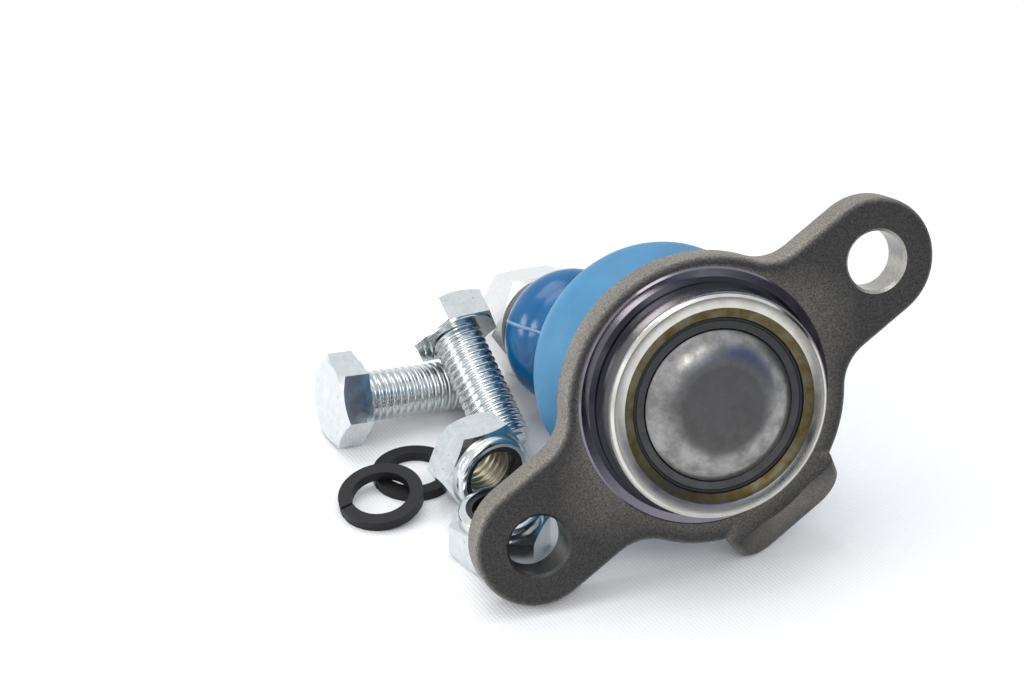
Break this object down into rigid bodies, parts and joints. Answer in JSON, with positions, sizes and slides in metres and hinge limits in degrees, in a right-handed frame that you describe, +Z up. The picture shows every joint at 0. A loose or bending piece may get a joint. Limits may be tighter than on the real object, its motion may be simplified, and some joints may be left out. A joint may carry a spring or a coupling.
{
  "type": "suspension ball joint",
  "caption": "Two-bolt flanged suspension ball joint with a sealed swivelling stud in a rubber boot, and its loose bolts, nuts and lock washers.",
  "frame": {"origin": "centre of the ball in the seat", "axes": "the joint as it lies on a level floor: +Z up, the cover faces -Y, the stud points towards +Y and downwards, +X is level and to the right seen from the cover side"},
  "size_m": [0.1226, 0.1059, 0.0727],
  "materials": {
    "forged_steel": "shot-blasted forging with turned boss and ring",
    "cover_steel": "pressed sheet, satin",
    "seal_rubber": "matte",
    "boot_rubber": "satin blue moulded polyurethane rubber",
    "spring_steel": "oiled",
    "seat_plastic": "moulded acetal",
    "stud_steel": "ground and rolled",
    "zinc_plate": "bright zinc plating",
    "insert_nylon": "moulded nylon",
    "black_oxide": "matte black oxide"
  },
  "bodies": {
    "housing_body": {"housing": "forged_steel", "cover_plate": "cover_steel", "cover_seal": "seal_rubber", "preload_spring": "spring_steel", "pressure_pad": "seat_plastic", "bearing_seat": "seat_plastic", "boot_clamp_ring": "spring_steel", "flange_bolts": "zinc_plate", "flange_nuts": "zinc_plate", "nut_inserts": "insert_nylon", "lock_washers": "black_oxide"},
    "boot": {"dust_boot": "boot_rubber"},
    "neck": {"neck_sleeve": "seat_plastic", "neck_ring": "spring_steel"},
    "stud": {"ball_stud": "stud_steel", "stud_nut": "zinc_plate"}
  },
  "joints": [
    {"name": "lean_heading", "type": "hinge", "parent": "housing_body", "child": "boot", "pos_m": [0, 0, 0], "axis": [0, -0.9525, 0.3046], "range_deg": [-90, 90]},
    {"name": "stud_swing", "type": "hinge", "parent": "boot", "child": "neck", "pos_m": [0, 0, 0], "axis": [0, 0.3046, 0.9525], "range_deg": [-33.9, 0], "deforming": ["dust_boot"]},
    {"name": "stud_spin", "type": "hinge", "parent": "neck", "child": "stud", "pos_m": [0, 0, 0], "axis": [0.1547, -0.941, 0.3009], "continuous": true}
  ]
}
